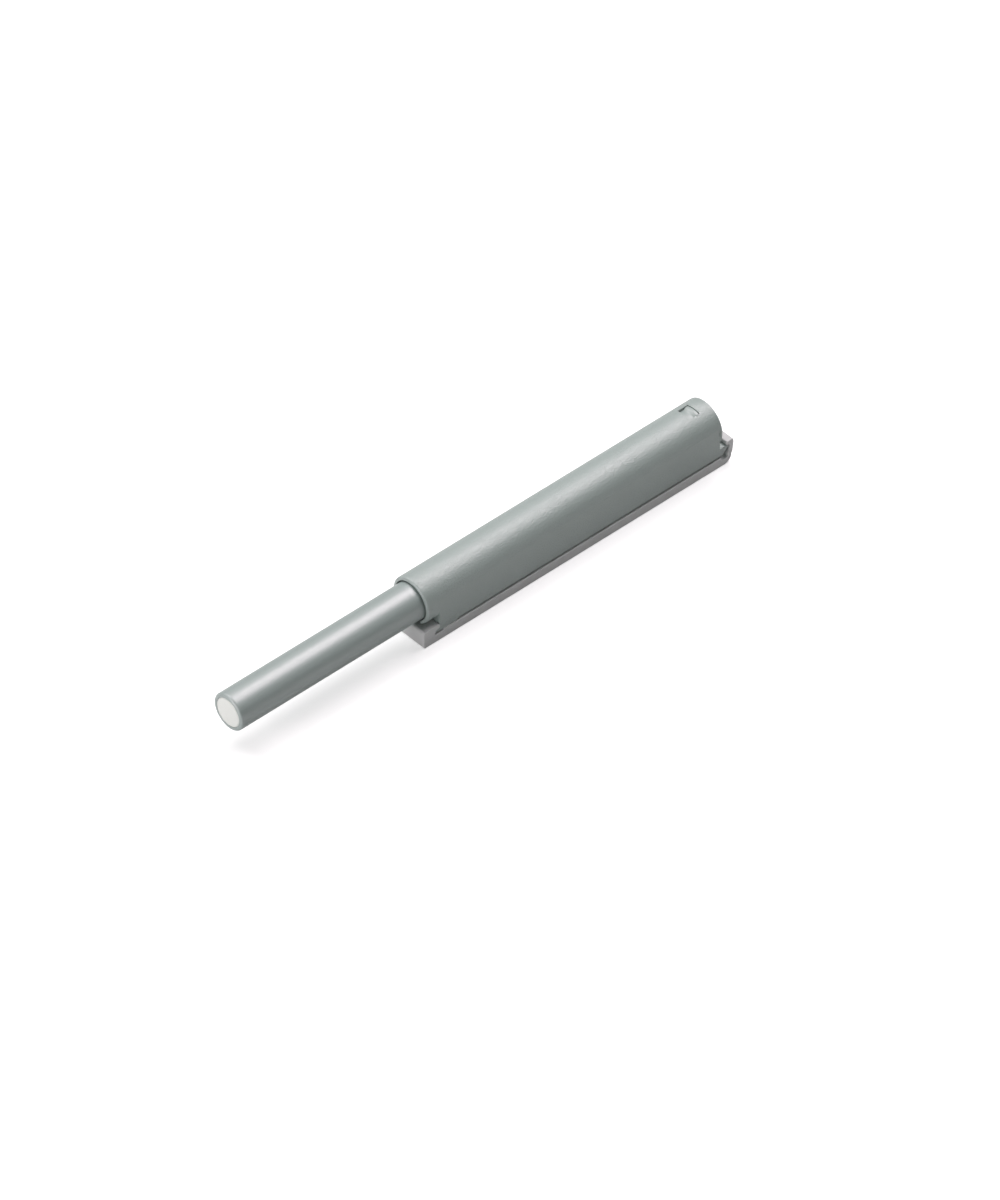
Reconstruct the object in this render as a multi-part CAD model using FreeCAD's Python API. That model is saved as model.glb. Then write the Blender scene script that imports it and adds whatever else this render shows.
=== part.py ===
"""Push-to-open catch for cabinet doors, clipped on its screw-on mounting plate.

A sprung plunger slides in a moulded housing and pushes the door open. Pushed in, a small
rotor on its inner end turns behind a toothed ring and holds it. The housing has two toes in
front and two claws behind, and snaps down between the plate's roof and its sprung upstand.

Frame: millimetres, origin at the centre of the plate's screw holes on its underside,
+X from the door towards the cabinet's back, +Z up from the panel that carries the plate.
"""
import FreeCAD, Part
import math
import os

V = FreeCAD.Vector
X_AXIS = V(1, 0, 0)
Y_AXIS = V(0, 1, 0)
ORIGIN = V(0, 0, 0)

# ---- Shared sizes -------------------------------------------------------------------------
WIDTH = 10.0                    # housing and plate are equally wide
CUT = 1.0                       # how far a cutting tool runs past a face
BITE = 0.1                      # how far joined pieces of one moulding run into each other
EASE = 0.1                      # gap between parts that clip or stand close
PRESS_EASE = 0.02               # radial ease of a pressed-in piece
NEARLY = 1e-4                   # two coordinates closer than this are the same

# ---- Mounting plate -----------------------------------------------------------------------
PLATE_LENGTH = 79.0
PLATE_THICK = 2.1
PLATE_FRONT = -44.05
PLATE_REAR = PLATE_FRONT + PLATE_LENGTH
HOLE_SPACING = 32.0             # each pair of holes fits the usual row of drillings
HOLE_STAGGER = 20.5             # from a hole of one pair to the next hole of the other
SCREW_R = 1.75
HEAD_R = 3.5
HEAD_RIM = 0.3                  # straight rim above each countersink
ROOF_LENGTH = 3.94
ROOF_HEIGHT = 1.8
ROOF_NOSE_R = 0.55
TOE_POCKET_DEEP = 1.14
TOE_POCKET_LOW = 0.95           # pocket height at its back
TOE_POCKET_HIGH = 1.3           # and at its mouth
TOE_POCKET_SUNK = 0.25          # its floor lies this much below the plate's top
TOE_POCKET_RUN = 0.9            # how far that floor runs out past the roof
TONGUE_END = 7.2                # from the plate's front
TONGUE_WIDTH = 5.2
CORE_SLOT_WIDTH = 0.95
CORE_SLOT_END = 7.1
UPSTAND_THICK = 1.1
UPSTAND_LEAN = 0.31             # the wall's outside leans in towards its foot
UPSTAND_FOOT = 2.3
UPSTAND_KNEE = 3.9              # below this its inside flares out towards the plate
UPSTAND_FLARE = 0.4
LIP_TOP = 5.45
LIP_UNDER = 4.55
LIP_REACH = 0.75
LIP_NOSE = 0.3
LIP_DRAFT = 0.15                # the lip's back leans in towards its top
FLEX_GROOVE_R = 0.8             # groove at the upstand's foot that lets it spring back
FLEX_GROOVE_RISE = 0.1          # its centre above the plate's top
HEEL_ROUND = 1.8                # the plate bends up into the upstand like a leaf
HEEL_INSET = 0.56
HEEL_TOP = 1.9

# ---- Housing ------------------------------------------------------------------------------
TUBE_R = WIDTH / 2
AXIS_Z = 8.27
HOUSING_LENGTH = 74.5
HOUSING_SETBACK = 1.04          # its front edge behind the plate's
HOUSING_FRONT = PLATE_FRONT + HOUSING_SETBACK
HOUSING_REAR = HOUSING_FRONT + HOUSING_LENGTH
MOUTH_ROUND = 0.45
MOUTH_RELIEF_DEEP = 0.8         # wider start of the bore, clear of the plunger
SKIRT_Z = 2.5                   # lower edge of the two side skirts
SKIRT_SETBACK = 3.0             # bare round tube ahead of the skirts
SIDE_HALF = 4.83                # the skirts' flat sides lie just inside the tube's round
CHANNEL_HALF = 2.65             # half of the open channel between the skirts
TOE_LENGTH = 1.1
TOE_THICK = 0.7
FOOT_LENGTH = 5.3
FOOT_RAMP = 0.4
TONGUE_SLOT_LENGTH = 6.65       # slot under the mouth that passes over the plate's tongue
TONGUE_SLOT_TOP = 6.2
REAR_FOOT_LENGTH = 1.8
CLAW_LENGTH = 2.15
CLAW_WIDTH = 1.4
CLAW_TOP = LIP_UNDER - EASE
CLAW_ROOT = 0.7                 # flat underside before the claw's slope
CLAW_TIP = 0.5                  # height of the claw's blunt end
WINDOW_LENGTH = 2.6
WINDOW_WIDTH = 3.3
WINDOW_FROM_REAR = 3.75         # window's middle to the housing's rear end

# Bore stations, measured from the housing's front
GUIDE_R = 4.08
GUIDE_END = 20.0
BORE_R = 4.3
RING_SEAT = 61.6
SEAT_R = 4.5

# ---- Plunger ------------------------------------------------------------------------------
PLUNGER_R = 4.0
PLUNGER_OUT = 45.45             # how far the tip stands out when extended
PLUNGER_TIP_ROUND = 0.5
PLUNGER_BORE_R = 2.55
FRONT_CAVITY_R = 2.8
BUMPER_R = 3.15
BUMPER_DEEP = 3.9
BUMPER_CROWN = 0.12
WEB_FRONT = -7.0                # solid web between the front cavity and the spring bore
SPRING_SEAT = -5.0
FLANGE_R = 4.2
FLANGE_LENGTH = 1.5
NECK_R = 3.2
STROKE = 40.0

# ---- Latch --------------------------------------------------------------------------------
LUGS = 4
PITCH_DEG = 360.0 / LUGS
ROTOR_BORE_R = 3.26
ROTOR_CORE_R = 3.62
LUG_R = 4.2
LUG_WIDTH = 2.4
ROTOR_FRONT = 24.5
ROTOR_LENGTH = 3.0
LUG_SLOPE = 0.9
COLLAR_GAP = 0.08
COLLAR_LENGTH = 1.0
COLLAR_R = 3.6
RING_LENGTH = 1.7
RING_WALL = 0.24
TOOTH_R = 3.72
TOOTH_WIDTH = 2.5
TOOTH_LENGTH = 1.3

# ---- End plug -----------------------------------------------------------------------------
PLUG_FLOOR = 69.4
SLEEVE_WALL = 0.2
CAM_TIP = ROTOR_FRONT + ROTOR_LENGTH + STROKE + EASE
CAM_DEEP = 1.2
CAM_ROOT = CAM_TIP + CAM_DEEP
CAM_INNER_R = 3.75
CAM_COUNT = 2 * LUGS
SPIGOT_R = 1.8
SPIGOT_LENGTH = 3.4
SPIGOT_CHAMFER = 0.54
FLANGE_DISC_R = 4.98
FLANGE_DISC = 0.55
FLANGE_CHAMFER = 0.12
PLUG_POCKET_R = 3.0
PLUG_POCKET_DEEP = 2.9
PLUG_POCKET_DRAFT = 0.15
SNAP_WIDTH = 3.0
SNAP_LENGTH = 2.2
SNAP_LOW = 0.03                 # the snap's ramp starts this far above the plug
SNAP_HIGH = 0.38
SNAP_FLAT = 0.6

# ---- Spring -------------------------------------------------------------------------------
SPRING_R = 2.4
WIRE_R = 0.225
SPRING_TURNS = 20
CLOSED_PITCH = 0.47             # the first and last turn lie against their neighbours
TURN_STEPS = 10                 # straight lengths of wire to a turn
WIRE_SIDES = 6


def box(x0, x1, y0, y1, z0, z1):
    """Box between two corners."""
    return Part.makeBox(x1 - x0, y1 - y0, z1 - z0, V(x0, y0, z0))


def both_sides(shape):
    """The shape and its mirror image across the object's middle plane."""
    return shape.fuse(shape.mirror(ORIGIN, Y_AXIS))


def side_profile(points, y0, y1):
    """Prism with an outline of (x, z) points, from y0 to y1."""
    outline = [V(x, y0, z) for x, z in points]
    face = Part.Face(Part.makePolygon(outline + outline[:1]))
    return face.extrude(V(0, y1 - y0, 0))


def station(x):
    """Position along X of a distance from the housing's front."""
    return HOUSING_FRONT + x


def turned(points):
    """Solid turned about the plunger's axis from an outline of (station, radius) points."""
    outline = [V(station(x), 0, AXIS_Z + r) for x, r in points]
    face = Part.Face(Part.makePolygon(outline + outline[:1]))
    return face.revolve(V(0, 0, AXIS_Z), X_AXIS, 360)


def ring(x0, x1, r_in, r_out):
    """Plain ring about the plunger's axis."""
    return turned([(x0, r_in), (x1, r_in), (x1, r_out), (x0, r_out)])


def top_strip(shape, width):
    """The part of a turned shape within a strip along the top of the axis."""
    bounds = shape.BoundBox
    return shape.common(box(bounds.XMin, bounds.XMax, -width / 2, width / 2, AXIS_Z, bounds.ZMax))


def around_axis(shape, count, start_deg=0.0):
    """Copies of a shape spaced evenly about the plunger's axis."""
    copies = []
    for i in range(count):
        copy = shape.copy()
        copy.rotate(V(0, 0, AXIS_Z), X_AXIS, start_deg + i * 360.0 / count)
        copies.append(copy)
    return copies


def edges_where(shape, test):
    """Edges whose every vertex passes a test."""
    return [e for e in shape.Edges if all(test(v.Point) for v in e.Vertexes)]


def near(a, b):
    """Whether two coordinates are the same."""
    return abs(a - b) < NEARLY


def circle_edges(shape, x, r):
    """Edges of a shape that run round the plunger's axis at a position and radius."""
    def on_circle(p):
        return near(p.x, x) and near(math.hypot(p.y, p.z - AXIS_Z), r)
    return edges_where(shape, on_circle)


def hole_positions():
    """X of the four screw holes: two pairs, one shifted along from the other."""
    first = -(HOLE_SPACING + HOLE_STAGGER) / 2
    return [first, first + HOLE_STAGGER, first + HOLE_SPACING, first + HOLE_SPACING + HOLE_STAGGER]


def screw_hole(x):
    """Countersunk hole: straight rim, 90 degree cone and shank hole."""
    cone_top = PLATE_THICK - HEAD_RIM
    cone_deep = HEAD_R - SCREW_R
    rim = Part.makeCylinder(HEAD_R, HEAD_RIM + CUT, V(x, 0, cone_top))
    cone = Part.makeCone(SCREW_R, HEAD_R, cone_deep, V(x, 0, cone_top - cone_deep))
    shank = Part.makeCylinder(SCREW_R, PLATE_THICK + CUT, V(x, 0, -CUT))
    return rim.fuse([cone, shank])


def plate_profile():
    """Side outline of the plate with its roof in front and its hooked upstand behind."""
    roof_z = PLATE_THICK + ROOF_HEIGHT
    lip_front = PLATE_REAR - UPSTAND_THICK - LIP_REACH
    wall = PLATE_REAR - UPSTAND_THICK
    return [
        (PLATE_FRONT, 0),
        (PLATE_REAR - HEEL_INSET, 0),
        (PLATE_REAR - HEEL_INSET, HEEL_TOP),
        (PLATE_REAR - UPSTAND_LEAN, UPSTAND_FOOT),
        (PLATE_REAR, LIP_UNDER),
        (PLATE_REAR - LIP_DRAFT, LIP_TOP),
        (lip_front + LIP_NOSE, LIP_TOP),
        (lip_front, LIP_TOP - LIP_NOSE),
        (lip_front, LIP_UNDER),
        (wall, LIP_UNDER),
        (wall, UPSTAND_KNEE),
        (wall - UPSTAND_FLARE, PLATE_THICK),
        (PLATE_FRONT + ROOF_LENGTH, PLATE_THICK),
        (PLATE_FRONT + ROOF_LENGTH, roof_z),
        (PLATE_FRONT, roof_z),
    ]


def toe_pocket():
    """Undercut under the roof's side strip, open towards the rear and the outside."""
    mouth = PLATE_FRONT + ROOF_LENGTH
    back = mouth - TOE_POCKET_DEEP
    return side_profile(
        [
            (back, PLATE_THICK - TOE_POCKET_SUNK),
            (mouth + TOE_POCKET_RUN, PLATE_THICK - TOE_POCKET_SUNK),
            (mouth + TOE_POCKET_RUN, PLATE_THICK),
            (mouth, PLATE_THICK),
            (mouth, PLATE_THICK - TOE_POCKET_SUNK + TOE_POCKET_HIGH),
            (back, PLATE_THICK - TOE_POCKET_SUNK + TOE_POCKET_LOW),
        ],
        TONGUE_WIDTH / 2,
        WIDTH / 2 + CUT,
    )


def mounting_plate():
    """Screw-on plate, one moulding: base, roof with tongue, countersunk holes, upstand."""
    body = side_profile(plate_profile(), -WIDTH / 2, WIDTH / 2)
    roof_z = PLATE_THICK + ROOF_HEIGHT
    nose = edges_where(body, lambda p: near(p.x, PLATE_FRONT) and near(p.z, roof_z))
    body = body.makeFillet(ROOF_NOSE_R, nose)
    heel = edges_where(body, lambda p: near(p.x, PLATE_REAR - HEEL_INSET) and near(p.z, 0))
    body = body.makeFillet(HEEL_ROUND, heel)
    tongue = box(
        PLATE_FRONT + ROOF_LENGTH, PLATE_FRONT + TONGUE_END,
        -TONGUE_WIDTH / 2, TONGUE_WIDTH / 2, PLATE_THICK, roof_z,
    )
    body = body.fuse(tongue).removeSplitter()
    core_slot = box(
        PLATE_FRONT + ROOF_LENGTH, PLATE_FRONT + CORE_SLOT_END,
        TONGUE_WIDTH / 2, TONGUE_WIDTH / 2 + CORE_SLOT_WIDTH, -CUT, PLATE_THICK + CUT,
    )
    groove_x = PLATE_REAR - UPSTAND_THICK - UPSTAND_FLARE - FLEX_GROOVE_R
    groove_start = V(groove_x, -WIDTH / 2 - CUT, PLATE_THICK + FLEX_GROOVE_RISE)
    groove = Part.makeCylinder(FLEX_GROOVE_R, WIDTH + 2 * CUT, groove_start, Y_AXIS)
    cutters = [both_sides(toe_pocket()), both_sides(core_slot), groove]
    cutters += [screw_hole(x) for x in hole_positions()]
    return body.cut(cutters)


def tube_blank():
    """Solid round body of the housing with its front edge rounded."""
    blank = turned([(0, 0), (0, TUBE_R), (HOUSING_LENGTH, TUBE_R), (HOUSING_LENGTH, 0)])
    return blank.makeFillet(MOUTH_ROUND, circle_edges(blank, HOUSING_FRONT, TUBE_R))


def skirt():
    """One side wall from the tube's side down to the plate, with its foot and toe."""
    front = station(SKIRT_SETBACK)
    toe_tip = front - TOE_LENGTH
    foot_end = toe_tip + FOOT_LENGTH
    return side_profile(
        [
            (front, AXIS_Z),
            (front, PLATE_THICK + TOE_THICK),
            (toe_tip, PLATE_THICK + TOE_THICK),
            (toe_tip, PLATE_THICK),
            (foot_end, PLATE_THICK),
            (foot_end + FOOT_RAMP, SKIRT_Z),
            (HOUSING_REAR, SKIRT_Z),
            (HOUSING_REAR, AXIS_Z),
        ],
        CHANNEL_HALF,
        SIDE_HALF,
    )


def flat_side():
    """What is planed off the tube's side so that the skirt below it runs on up as one flat."""
    return box(
        station(SKIRT_SETBACK), HOUSING_REAR + CUT,
        SIDE_HALF, TUBE_R + CUT, PLATE_THICK, AXIS_Z + TUBE_R,
    )


def claw():
    """Rear claw in the plane of one skirt, sloped below so that it snaps in."""
    tip = HOUSING_REAR + CLAW_LENGTH
    return side_profile(
        [
            (HOUSING_REAR - CUT, CLAW_TOP),
            (tip, CLAW_TOP),
            (tip, CLAW_TOP - CLAW_TIP),
            (HOUSING_REAR + CLAW_ROOT, SKIRT_Z),
            (HOUSING_REAR - CUT, SKIRT_Z),
        ],
        SIDE_HALF - CLAW_WIDTH,
        SIDE_HALF,
    )


def rear_foot():
    """Web between the skirts that rests on the plate near its rear end."""
    return box(
        HOUSING_REAR - REAR_FOOT_LENGTH, HOUSING_REAR,
        -CHANNEL_HALF, CHANNEL_HALF, PLATE_THICK, AXIS_Z - SEAT_R,
    )


def housing_bore():
    """Everything turned out of the housing, from the mouth's relief to the plug's seat."""
    return turned([
        (-CUT, 0),
        (-CUT, BORE_R),
        (MOUTH_RELIEF_DEEP, BORE_R),
        (MOUTH_RELIEF_DEEP, GUIDE_R),
        (GUIDE_END, GUIDE_R),
        (GUIDE_END, BORE_R),
        (RING_SEAT, BORE_R),
        (RING_SEAT, SEAT_R),
        (HOUSING_LENGTH + CUT, SEAT_R),
        (HOUSING_LENGTH + CUT, 0),
    ])


def housing():
    """Moulded housing: round tube on two skirts, with toes, claws and the plug's window."""
    body = tube_blank().fuse([both_sides(skirt()), both_sides(claw()), rear_foot()])
    tongue_slot = box(
        station(-CUT), station(TONGUE_SLOT_LENGTH),
        -CHANNEL_HALF, CHANNEL_HALF, 0, TONGUE_SLOT_TOP,
    )
    window_middle = HOUSING_REAR - WINDOW_FROM_REAR
    window = box(
        window_middle - WINDOW_LENGTH / 2, window_middle + WINDOW_LENGTH / 2,
        -WINDOW_WIDTH / 2, WINDOW_WIDTH / 2, AXIS_Z, AXIS_Z + TUBE_R + CUT,
    )
    cutters = [housing_bore(), both_sides(flat_side()), tongue_slot, window]
    return body.cut(cutters).removeSplitter()


def plunger_tube():
    """Plunger: smooth tube with a stop flange, then a slim neck that carries the rotor."""
    tip = -PLUNGER_OUT
    neck_end = ROTOR_FRONT + ROTOR_LENGTH + COLLAR_GAP + COLLAR_LENGTH
    body = turned([
        (tip, BUMPER_R),
        (tip, PLUNGER_R),
        (GUIDE_END, PLUNGER_R),
        (GUIDE_END, FLANGE_R),
        (GUIDE_END + FLANGE_LENGTH, FLANGE_R),
        (GUIDE_END + FLANGE_LENGTH, NECK_R),
        (neck_end, NECK_R),
        (neck_end, PLUNGER_BORE_R),
        (SPRING_SEAT, PLUNGER_BORE_R),
        (SPRING_SEAT, 0),
        (WEB_FRONT, 0),
        (WEB_FRONT, FRONT_CAVITY_R),
        (tip + BUMPER_DEEP, FRONT_CAVITY_R),
        (tip + BUMPER_DEEP, BUMPER_R),
    ])
    return body.makeFillet(PLUNGER_TIP_ROUND, circle_edges(body, station(tip), PLUNGER_R))


def bumper():
    """Soft white insert pressed into the plunger's tip, its face slightly domed."""
    face = station(-PLUNGER_OUT) - BUMPER_CROWN
    radius = BUMPER_R - PRESS_EASE
    dome_r = (radius ** 2 + BUMPER_CROWN ** 2) / (2 * BUMPER_CROWN)
    blank = Part.makeCylinder(radius, BUMPER_CROWN + BUMPER_DEEP, V(face, 0, AXIS_Z), X_AXIS)
    dome = Part.makeSphere(dome_r, V(face + dome_r, 0, AXIS_Z))
    return blank.common(dome)


def latch_rotor():
    """Loose ring on the plunger's neck with sloped lugs that catch behind the toothed ring."""
    x0 = ROTOR_FRONT
    x1 = ROTOR_FRONT + ROTOR_LENGTH
    core = ring(x0, x1, ROTOR_BORE_R, ROTOR_CORE_R)
    lug = top_strip(ring(x0, x1, ROTOR_CORE_R - BITE, LUG_R), LUG_WIDTH)
    outline = [
        V(station(x1 - LUG_SLOPE), -LUG_WIDTH / 2, AXIS_Z),
        V(station(x1) + CUT, LUG_WIDTH / 2 + CUT, AXIS_Z),
        V(station(x1) + CUT, -LUG_WIDTH / 2, AXIS_Z),
    ]
    slope = Part.Face(Part.makePolygon(outline + outline[:1])).extrude(V(0, 0, LUG_R + CUT))
    lug = lug.cut(slope)
    return core.fuse(around_axis(lug, LUGS)).removeSplitter()


def rotor_retainer():
    """Collar pressed on the neck's end behind the rotor."""
    x0 = ROTOR_FRONT + ROTOR_LENGTH + COLLAR_GAP
    return ring(x0, x0 + COLLAR_LENGTH, NECK_R + PRESS_EASE, COLLAR_R)


def latch_ring():
    """Toothed ring held between the housing's inner step and the plug's sleeve."""
    x0 = RING_SEAT
    x1 = RING_SEAT + RING_LENGTH
    outer = SEAT_R - PRESS_EASE
    wall = ring(x0, x1, outer - RING_WALL, outer)
    tooth = top_strip(ring(x1 - TOOTH_LENGTH, x1, TOOTH_R, outer - RING_WALL + BITE), TOOTH_WIDTH)
    return wall.fuse(around_axis(tooth, LUGS, PITCH_DEG / 2)).removeSplitter()


def cam_crown():
    """Ring of ramps on the plug that turn the rotor's lugs by half a pitch at each push."""
    crown = ring(CAM_TIP, PLUG_FLOOR + BITE, CAM_INNER_R, SEAT_R - PRESS_EASE)
    half = CAM_INNER_R * math.tan(math.pi / CAM_COUNT)
    outline = [
        V(station(CAM_TIP), -half, AXIS_Z),
        V(station(CAM_ROOT), half, AXIS_Z),
        V(station(CAM_TIP), half, AXIS_Z),
    ]
    reach = Part.Face(Part.makePolygon(outline + outline[:1])).extrude(V(0, 0, SEAT_R + CUT))
    return crown.cut(around_axis(reach, CAM_COUNT))


def snap_lug():
    """Ramped lug on top of the plug that springs out into the housing's window."""
    rear = HOUSING_LENGTH - WINDOW_FROM_REAR + WINDOW_LENGTH / 2 - EASE
    front = rear - SNAP_LENGTH
    root = SEAT_R - PRESS_EASE
    ramp = turned([
        (front, root - BITE),
        (front, root + SNAP_LOW),
        (rear - SNAP_FLAT, root + SNAP_HIGH),
        (rear, root + SNAP_HIGH),
        (rear, root - BITE),
    ])
    return top_strip(ramp, SNAP_WIDTH)


def end_plug():
    """Rear plug: flange, snap, spring spigot, cam ramps and the sleeve that holds the ring."""
    outer = SEAT_R - PRESS_EASE
    ring_back = RING_SEAT + RING_LENGTH
    rear = HOUSING_LENGTH + FLANGE_DISC
    body = turned([
        (PLUG_FLOOR - SPIGOT_LENGTH, 0),
        (PLUG_FLOOR - SPIGOT_LENGTH, SPIGOT_R - SPIGOT_CHAMFER),
        (PLUG_FLOOR - SPIGOT_LENGTH + SPIGOT_CHAMFER, SPIGOT_R),
        (PLUG_FLOOR, SPIGOT_R),
        (PLUG_FLOOR, outer),
        (HOUSING_LENGTH, outer),
        (HOUSING_LENGTH, FLANGE_DISC_R),
        (rear - FLANGE_CHAMFER, FLANGE_DISC_R),
        (rear, FLANGE_DISC_R - FLANGE_CHAMFER),
        (rear, PLUG_POCKET_R),
        (rear - PLUG_POCKET_DEEP, PLUG_POCKET_R - PLUG_POCKET_DRAFT),
        (rear - PLUG_POCKET_DEEP, 0),
    ])
    sleeve = ring(ring_back, PLUG_FLOOR + BITE, outer - SLEEVE_WALL, outer)
    return body.fuse([sleeve, cam_crown(), snap_lug()]).removeSplitter()


def wire_section(angle, along, slope):
    """Cross-section of the spring's wire, square to the wire, at an angle of the coil."""
    outward = V(0, math.sin(angle), math.cos(angle))
    forward = V(math.sin(slope), math.cos(slope) * math.cos(angle), -math.cos(slope) * math.sin(angle))
    across = outward.cross(forward)
    middle = V(along, 0, AXIS_Z) + outward * (SPRING_R - WIRE_R)
    corners = []
    for i in range(WIRE_SIDES + 1):
        a = 2 * math.pi * i / WIRE_SIDES
        corners.append(middle + outward * (WIRE_R * math.cos(a)) + across * (WIRE_R * math.sin(a)))
    return Part.makePolygon(corners)


def main_spring():
    """Compression spring from the plunger's web to the plug's floor, closed at both ends."""
    length = PLUG_FLOOR - SPRING_SEAT - 2 * WIRE_R
    open_pitch = (length - 2 * CLOSED_PITCH) / (SPRING_TURNS - 2)
    along = station(SPRING_SEAT) + WIRE_R
    sections = []
    for i in range(SPRING_TURNS * TURN_STEPS + 1):
        turn = i / TURN_STEPS
        pitch = open_pitch if 1 <= turn < SPRING_TURNS - 1 else CLOSED_PITCH
        slope = math.atan2(pitch, 2 * math.pi * (SPRING_R - WIRE_R))
        sections.append(wire_section(2 * math.pi * turn, along, slope))
        along += pitch / TURN_STEPS
    return Part.makeLoft(sections, True, True)


PARTS = {
    "mounting_plate": mounting_plate,
    "housing": housing,
    "end_plug": end_plug,
    "latch_ring": latch_ring,
    "plunger_tube": plunger_tube,
    "bumper": bumper,
    "latch_rotor": latch_rotor,
    "rotor_retainer": rotor_retainer,
    "main_spring": main_spring,
}

os.makedirs("parts", exist_ok=True)
for name, make in PARTS.items():
    shape = make()
    shape.exportStep(f"parts/{name}.step")
    print(name, shape.ShapeType, len(shape.Solids), shape.isValid(), round(shape.Volume, 2))
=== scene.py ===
import bmesh
import bpy
import math
from mathutils import Matrix, Vector


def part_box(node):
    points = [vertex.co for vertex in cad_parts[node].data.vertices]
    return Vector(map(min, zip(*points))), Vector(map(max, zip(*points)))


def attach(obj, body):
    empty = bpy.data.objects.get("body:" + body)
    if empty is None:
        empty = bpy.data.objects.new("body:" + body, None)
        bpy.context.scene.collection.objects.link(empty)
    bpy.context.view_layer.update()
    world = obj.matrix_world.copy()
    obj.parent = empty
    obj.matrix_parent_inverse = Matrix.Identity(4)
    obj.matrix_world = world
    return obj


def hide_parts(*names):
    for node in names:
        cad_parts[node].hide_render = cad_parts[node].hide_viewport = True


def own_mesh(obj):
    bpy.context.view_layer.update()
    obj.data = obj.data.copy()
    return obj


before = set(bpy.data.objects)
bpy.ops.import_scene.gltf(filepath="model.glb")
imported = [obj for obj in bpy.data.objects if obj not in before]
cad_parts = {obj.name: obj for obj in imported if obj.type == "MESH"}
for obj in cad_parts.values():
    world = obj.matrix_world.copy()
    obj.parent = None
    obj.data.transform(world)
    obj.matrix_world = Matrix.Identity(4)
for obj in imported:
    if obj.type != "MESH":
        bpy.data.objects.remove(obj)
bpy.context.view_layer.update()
MM = 0.001


# ==== Mounting plate ===========================================================================
# Light grey plate moulded in one piece and screwed to the cabinet's panel. Its roof and tongue
# hold the catch's toes in front, and the hooked upstand behind springs over the claws. It is
# spark-finished all over, and every edge is slightly round from the mould.

# Sizes are in millimetres. finished() turns each shape into metres.
CLOSE = 1e-4          # distance within which two places are the same
PAST = 1.0            # how far a cutting shape runs past a face
ROUND_STEPS = 160     # facets round the tube and what is turned about its axis
SMALL_STEPS = 96      # facets round the screw holes and the bumper
SHARP_DEG = 32.0      # a fold steeper than this is shaded as a real corner
CORNER = 0.2          # usual round of a moulded corner
FINE_CORNER = 0.15    # round of a small moulded corner
EDGE_ROUND = 0.1      # usual round of a moulded edge
GRAIN_DETAIL = 1.0    # octaves of the spark grain
GRAIN_LOW = 0.3       # usual lowest and highest value of the noise that makes the grain
GRAIN_HIGH = 0.7
FLOW_PER_MM = 0.35    # coarseness and octaves of the faint mottling
FLOW_DETAIL = 4.0


def span(node):
    """Lowest and highest corner of a node, in millimetres."""
    low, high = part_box(node)
    return low / MM, high / MM


def outline(points):
    """Flat face in the object's middle plane from (x, z) points."""
    bm = bmesh.new()
    bm.faces.new([bm.verts.new((x, 0, z)) for x, z in points])
    return bm


def round_corners(bm, corners, segments=6):
    """Rounds some corners of a flat outline, given as pairs of corner point and radius."""
    for (x, z), radius in corners:
        corner = min(bm.verts, key=lambda v: (v.co.x - x) ** 2 + (v.co.z - z) ** 2)
        bmesh.ops.bevel(
            bm, geom=[corner], offset=radius, affect="VERTICES", segments=segments, profile=0.5,
            offset_type="OFFSET", material=-1,
        )


def round_edges(bm, edges, size, segments=2):
    """Rounds chosen edges of a solid."""
    bmesh.ops.bevel(
        bm, geom=edges, offset=size, affect="EDGES", segments=segments, profile=0.5,
        offset_type="OFFSET", clamp_overlap=True, material=-1,
    )


def thicken(bm, y0, y1, edge_round=0.0):
    """Turns a flat outline into a prism from y0 to y1 with rounded rims."""
    bmesh.ops.translate(bm, verts=bm.verts, vec=(0, y0, 0))
    made = bmesh.ops.extrude_face_region(bm, geom=bm.faces[:])
    moved = [g for g in made["geom"] if isinstance(g, bmesh.types.BMVert)]
    bmesh.ops.translate(bm, verts=moved, vec=(0, y1 - y0, 0))
    bmesh.ops.recalc_face_normals(bm, faces=bm.faces)
    if edge_round:
        rims = [e for e in bm.edges if abs(e.verts[0].co.y - e.verts[1].co.y) < CLOSE]
        round_edges(bm, rims, edge_round)
    return bm


def block(low, high, edge_round=0.0):
    """Box between two corners, with rounded edges."""
    size = Vector(high) - Vector(low)
    bm = bmesh.new()
    bmesh.ops.create_cube(bm, size=1.0)
    bmesh.ops.scale(bm, verts=bm.verts, vec=size)
    bmesh.ops.translate(bm, verts=bm.verts, vec=Vector(low) + size / 2)
    if edge_round:
        round_edges(bm, bm.edges[:], edge_round)
    return bm


def spun(bm, centre, axis, steps=ROUND_STEPS):
    """Closed solid made by turning a flat outline about an axis in its own plane."""
    centre, axis = Vector(centre), Vector(axis)
    bmesh.ops.delete(bm, geom=bm.faces[:], context="FACES_ONLY")
    on_axis = {v for v in bm.verts if (v.co - centre).cross(axis).length < CLOSE}
    for edge in [e for e in bm.edges if on_axis.issuperset(e.verts)]:
        bm.edges.remove(edge)
    bmesh.ops.spin(
        bm, geom=bm.verts[:] + bm.edges[:], cent=centre, axis=axis, angle=2 * math.pi, steps=steps,
        use_merge=True,
    )
    bmesh.ops.remove_doubles(bm, verts=bm.verts, dist=CLOSE / 10)
    loose = [e for e in bm.edges if not e.link_faces]
    bmesh.ops.delete(bm, geom=loose, context="EDGES")
    bmesh.ops.recalc_face_normals(bm, faces=bm.faces)
    return bm


def mirrored(bm):
    """The shape and its mirror image across the object's middle plane, in one mesh."""
    other = bm.copy()
    bmesh.ops.scale(other, verts=other.verts, vec=(1, -1, 1))
    bmesh.ops.reverse_faces(other, faces=other.faces)
    mesh = bpy.data.meshes.new("mirror")
    other.to_mesh(mesh)
    other.free()
    bm.from_mesh(mesh)
    bpy.data.meshes.remove(mesh)
    return bm


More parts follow.
